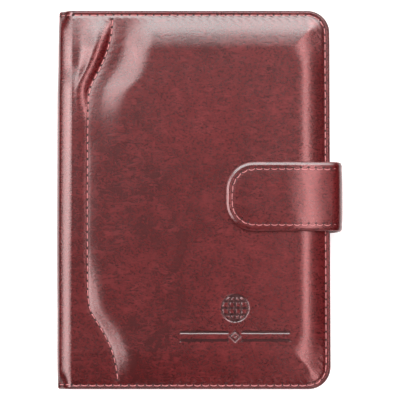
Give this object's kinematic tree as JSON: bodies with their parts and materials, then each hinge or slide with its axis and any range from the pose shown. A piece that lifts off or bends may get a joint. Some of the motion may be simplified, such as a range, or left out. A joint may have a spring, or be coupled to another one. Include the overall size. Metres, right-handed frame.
{
  "type": "passport holder",
  "caption": "Padded leather bi-fold passport holder with card slots, a passport sleeve and a magnetic strap wrapped round the fore-edge.",
  "frame": {"origin": "middle of the closed covers in X and Y, on the back cover's outer face", "axes": "+X from the spine to the fore-edge, +Y up the page along the spine, +Z out of the front cover"},
  "size_m": [0.1075, 0.142, 0.017],
  "materials": {
    "cover_leather": "waxed, satin",
    "strap_leather": "waxed, satin",
    "strap_lining": "matt",
    "panel_leather": "satin",
    "lining": "woven, matt",
    "foam": "matt",
    "board": "matt",
    "thread": "waxed thread",
    "steel": "plain",
    "magnet": "nickel plated"
  },
  "bodies": {
    "back_cover": {"back_cover_leather": "cover_leather", "back_foam_pad": "foam", "back_stiffener_board": "board", "back_lining": "lining", "back_edge_stitching": "thread", "card_slot_upper": "panel_leather", "card_slot_middle": "panel_leather", "card_slot_lower": "panel_leather", "card_slot_stitching": "thread", "strap_tail": "strap_leather", "strap_tail_stitching": "thread"},
    "spine": {"spine_leather": "cover_leather", "spine_stiffener": "board", "spine_lining": "lining", "spine_stitching": "thread"},
    "front_cover": {"front_cover_leather": "cover_leather", "front_foam_pad": "foam", "front_fold_pad": "foam", "front_catch_disc": "steel", "front_stiffener_board": "board", "front_lining": "lining", "front_edge_stitching": "thread", "front_seam_stitching": "thread", "passport_sleeve": "panel_leather", "passport_sleeve_stitching": "thread"},
    "strap_bend": {"strap_bend_leather": "strap_leather", "strap_bend_lining": "strap_lining", "strap_bend_stitching": "thread"},
    "strap_flap": {"strap_flap_leather": "strap_leather", "strap_flap_lining": "strap_lining", "strap_flap_stitching": "thread", "strap_magnet": "magnet"}
  },
  "joints": [
    {"name": "spine_fold", "type": "hinge", "parent": "back_cover", "child": "spine", "pos_m": [-0.0453, 0, 0], "axis": [0, -1, 0], "range_deg": [0, 90]},
    {"name": "front_fold", "type": "hinge", "parent": "spine", "child": "front_cover", "pos_m": [-0.0453, 0, 0.015], "axis": [0, -1, 0], "range_deg": [0, 90]},
    {"name": "strap_base_fold", "type": "hinge", "parent": "back_cover", "child": "strap_bend", "pos_m": [0.0517, 0.0008, 0], "axis": [0, 1, 0], "range_deg": [0, 90]},
    {"name": "strap_flap_fold", "type": "hinge", "parent": "strap_bend", "child": "strap_flap", "pos_m": [0.0517, 0.0008, 0.0152], "axis": [0, 1, 0], "range_deg": [0, 90]}
  ],
  "couplings": [
    {"joint": "front_fold", "follows": "spine_fold", "ratio": 1}
  ]
}
